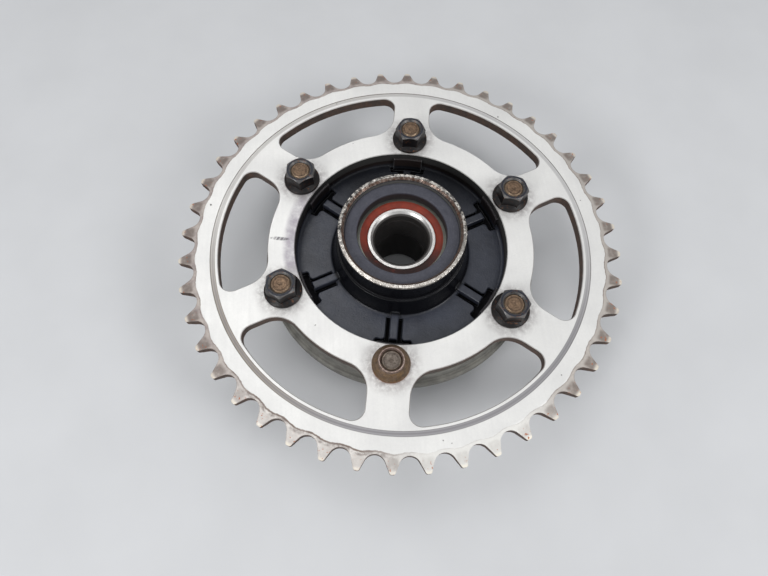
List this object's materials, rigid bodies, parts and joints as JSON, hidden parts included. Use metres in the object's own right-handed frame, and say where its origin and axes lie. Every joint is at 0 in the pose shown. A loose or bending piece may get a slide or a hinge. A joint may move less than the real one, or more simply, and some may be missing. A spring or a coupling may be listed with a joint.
{
  "type": "motorcycle rear sprocket with cush-drive carrier",
  "caption": "Worn rear chain sprocket bolted to a black cast cush-drive carrier with its wheel bearing, oil seal, studs, nuts and axle spacers.",
  "frame": {"origin": "on the wheel axis, in the plane of the feet of the damper vanes", "axes": "+Z along the axle, outwards through the chain ring and the oil seal; the first stud is 30 degrees from +X towards +Y"},
  "size_m": [0.2282, 0.2282, 0.0605],
  "materials": {
    "plated_steel": "bright zinc plate, pale satin, rubbed back to brown rusty steel on the teeth",
    "black_casting": "satin black paint on an aluminium casting, worn to bare metal on the boss rim",
    "black_nut": "black oxide, scuffed on the corners",
    "rusty_nut": "brown rusty steel with a rubbed bright collar",
    "stud_steel": "yellow-passivated steel gone brown",
    "bearing_steel": "ground and polished bearing steel",
    "cage_nylon": "glass-filled nylon",
    "bearing_seal_rubber": "smooth nitrile rubber",
    "spring_steel": "phosphated spring steel",
    "seal_case_steel": "pressed steel sheet",
    "seal_rubber": "dark grey dusty nitrile rubber",
    "seal_lip_rubber": "brick red sealing lip",
    "collar_steel": "turned bright steel"
  },
  "bodies": {
    "sprocket_carrier": {"bearing_outer_ring": "bearing_steel", "bearing_seal_inboard": "bearing_seal_rubber", "bearing_seal_outboard": "bearing_seal_rubber", "carrier": "black_casting", "circlip": "spring_steel", "flange_nut_1": "black_nut", "flange_nut_2": "black_nut", "flange_nut_3": "black_nut", "flange_nut_4": "black_nut", "flange_nut_6": "black_nut", "oil_seal_body": "seal_rubber", "oil_seal_case": "seal_case_steel", "oil_seal_lip": "seal_lip_rubber", "oil_seal_spring": "spring_steel", "round_nut": "rusty_nut", "sprocket": "plated_steel", "stud_1": "stud_steel", "stud_2": "stud_steel", "stud_3": "stud_steel", "stud_4": "stud_steel", "stud_5": "stud_steel", "stud_6": "stud_steel"},
    "axle_spacers": {"bearing_inner_ring": "bearing_steel", "outboard_collar": "collar_steel", "inboard_sleeve": "collar_steel"},
    "ball_cage": {"bearing_cage": "cage_nylon"},
    "ball_1": {"bearing_ball_1": "bearing_steel"},
    "ball_2": {"bearing_ball_2": "bearing_steel"},
    "ball_3": {"bearing_ball_3": "bearing_steel"},
    "ball_4": {"bearing_ball_4": "bearing_steel"},
    "ball_5": {"bearing_ball_5": "bearing_steel"},
    "ball_6": {"bearing_ball_6": "bearing_steel"},
    "ball_7": {"bearing_ball_7": "bearing_steel"},
    "ball_8": {"bearing_ball_8": "bearing_steel"},
    "ball_9": {"bearing_ball_9": "bearing_steel"}
  },
  "joints": [
    {"name": "axle_spin", "type": "hinge", "parent": "sprocket_carrier", "child": "axle_spacers", "pos_m": [0, 0, 0.036], "axis": [0, 0, 1], "continuous": true},
    {"name": "cage_spin", "type": "hinge", "parent": "sprocket_carrier", "child": "ball_cage", "pos_m": [0, 0, 0.036], "axis": [0, 0, 1], "continuous": true},
    {"name": "ball_spin_1", "type": "hinge", "parent": "ball_cage", "child": "ball_1", "pos_m": [0.0215, 0, 0.036], "axis": [0, 0, 1], "continuous": true},
    {"name": "ball_spin_2", "type": "hinge", "parent": "ball_cage", "child": "ball_2", "pos_m": [0.01647, 0.01382, 0.036], "axis": [0, 0, 1], "continuous": true},
    {"name": "ball_spin_3", "type": "hinge", "parent": "ball_cage", "child": "ball_3", "pos_m": [0.00373, 0.02117, 0.036], "axis": [0, 0, 1], "continuous": true},
    {"name": "ball_spin_4", "type": "hinge", "parent": "ball_cage", "child": "ball_4", "pos_m": [-0.01075, 0.01862, 0.036], "axis": [0, 0, 1], "continuous": true},
    {"name": "ball_spin_5", "type": "hinge", "parent": "ball_cage", "child": "ball_5", "pos_m": [-0.0202, 0.00735, 0.036], "axis": [0, 0, 1], "continuous": true},
    {"name": "ball_spin_6", "type": "hinge", "parent": "ball_cage", "child": "ball_6", "pos_m": [-0.0202, -0.00735, 0.036], "axis": [0, 0, 1], "continuous": true},
    {"name": "ball_spin_7", "type": "hinge", "parent": "ball_cage", "child": "ball_7", "pos_m": [-0.01075, -0.01862, 0.036], "axis": [0, 0, 1], "continuous": true},
    {"name": "ball_spin_8", "type": "hinge", "parent": "ball_cage", "child": "ball_8", "pos_m": [0.00373, -0.02117, 0.036], "axis": [0, 0, 1], "continuous": true},
    {"name": "ball_spin_9", "type": "hinge", "parent": "ball_cage", "child": "ball_9", "pos_m": [0.01647, -0.01382, 0.036], "axis": [0, 0, 1], "continuous": true}
  ],
  "couplings": [
    {"joint": "cage_spin", "follows": "axle_spin", "ratio": 0.3985},
    {"joint": "ball_spin_1", "follows": "axle_spin", "ratio": -2.361},
    {"joint": "ball_spin_2", "follows": "axle_spin", "ratio": -2.361},
    {"joint": "ball_spin_3", "follows": "axle_spin", "ratio": -2.361},
    {"joint": "ball_spin_4", "follows": "axle_spin", "ratio": -2.361},
    {"joint": "ball_spin_5", "follows": "axle_spin", "ratio": -2.361},
    {"joint": "ball_spin_6", "follows": "axle_spin", "ratio": -2.361},
    {"joint": "ball_spin_7", "follows": "axle_spin", "ratio": -2.361},
    {"joint": "ball_spin_8", "follows": "axle_spin", "ratio": -2.361},
    {"joint": "ball_spin_9", "follows": "axle_spin", "ratio": -2.361}
  ]
}
